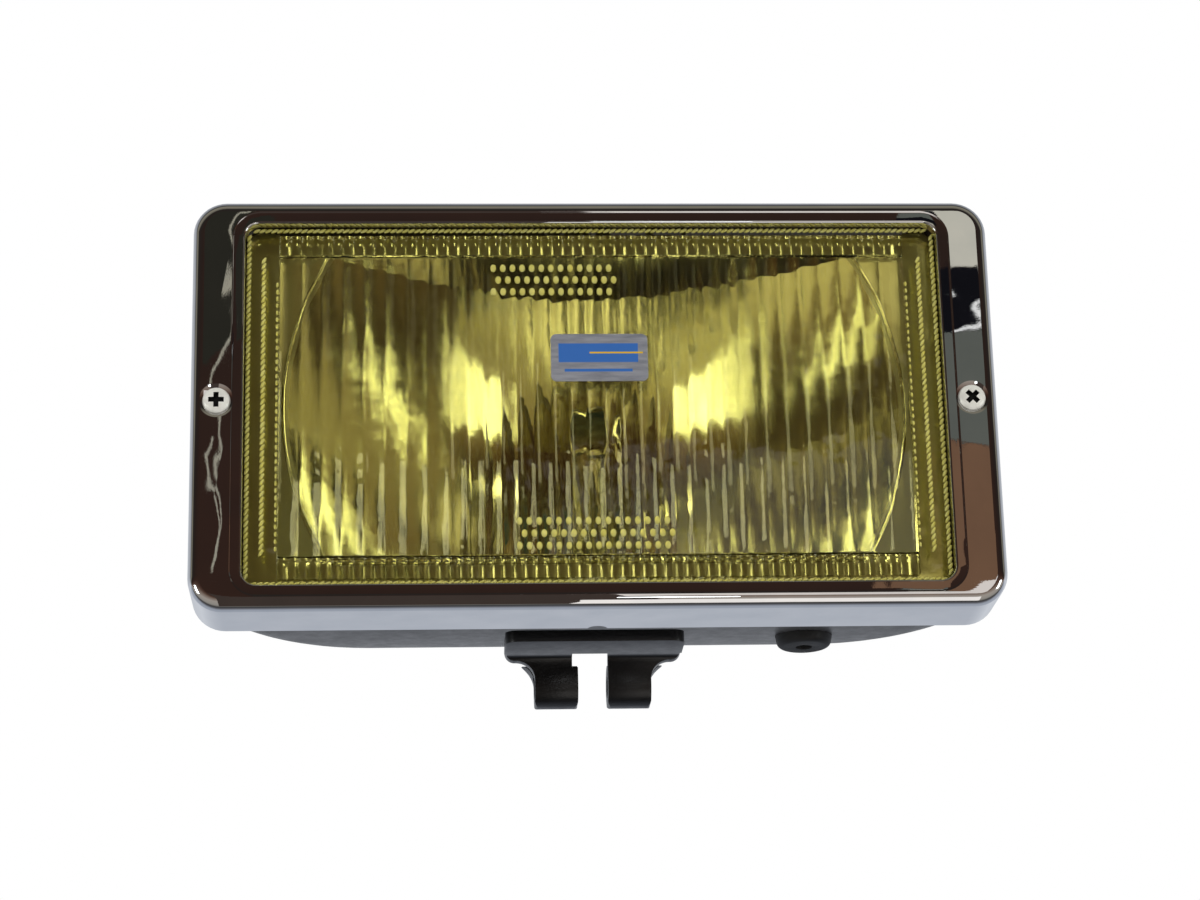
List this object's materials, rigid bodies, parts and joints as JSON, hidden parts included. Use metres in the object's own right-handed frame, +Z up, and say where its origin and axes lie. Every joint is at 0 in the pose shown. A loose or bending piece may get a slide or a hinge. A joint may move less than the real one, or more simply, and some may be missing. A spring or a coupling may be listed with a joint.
{
  "type": "fog light",
  "caption": "Rectangular fog lamp with a chromed bezel, fluted yellow glass lens, curved steel housing and a two-eyed pivot bracket below.",
  "frame": {"origin": "centre of the bracket's pivot bore, midway between its two rolled eyes", "axes": "+X along the pivot bore, to the right as seen from in front; +Y backwards, against the light beam; +Z up"},
  "size_m": [0.215, 0.0948, 0.1286],
  "materials": {
    "bezel_chrome": "bright chromed pressed steel",
    "lens_glass": "moulded yellow glass with flutes",
    "label_foil": "brushed foil with a printed band",
    "black_rubber": "moulded black rubber",
    "reflector_mirror": "vacuum aluminised",
    "shield_metal": "bright nickel",
    "bulb_quartz": "clear quartz",
    "bulb_metal": "nickel-plated steel",
    "ceramic": "unglazed ceramic",
    "lead_sleeve": "black insulation",
    "connector_plastic": "translucent nylon",
    "brass_terminal": "tin-flashed brass",
    "plated_steel": "zinc-plated pressed steel",
    "spring_wire": "drawn spring steel",
    "screw_zinc": "bright zinc",
    "fibre": "red fibre",
    "housing_paint": "satin dark grey enamel",
    "bracket_paint": "semi-gloss black enamel"
  },
  "bodies": {
    "housing": {"housing_shell": "housing_paint", "housing_seal": "black_rubber", "screw_nuts": "plated_steel", "grommet": "black_rubber", "pivot_bracket": "bracket_paint", "bracket_stiffener": "plated_steel"},
    "front_unit": {"bezel": "bezel_chrome", "lens": "lens_glass", "foil_label": "label_foil", "lens_gasket": "black_rubber", "reflector": "reflector_mirror", "bulb_shield": "shield_metal", "bulb_glass": "bulb_quartz", "bulb_base": "bulb_metal", "bulb_filament": "bulb_metal", "bulb_insulator": "ceramic", "bulb_lead": "lead_sleeve", "lead_connector": "connector_plastic", "lead_socket": "brass_terminal", "lead_clip": "plated_steel", "clip_pivot": "plated_steel", "clip_catch": "plated_steel", "clip_rivets": "plated_steel", "bezel_screws": "screw_zinc", "screw_washers": "fibre", "retaining_clips": "spring_wire"},
    "clip": {"bulb_clip": "spring_wire"}
  },
  "joints": [
    {"name": "front_unit_slide", "type": "slide", "parent": "housing", "child": "front_unit", "axis": [0, -1, 0], "range_m": [0, 0.08]},
    {"name": "bulb_clip_hinge", "type": "hinge", "parent": "front_unit", "child": "clip", "pos_m": [0, 0.0101, 0.0523], "axis": [-1, 0, 0], "range_deg": [0, 90]}
  ]
}
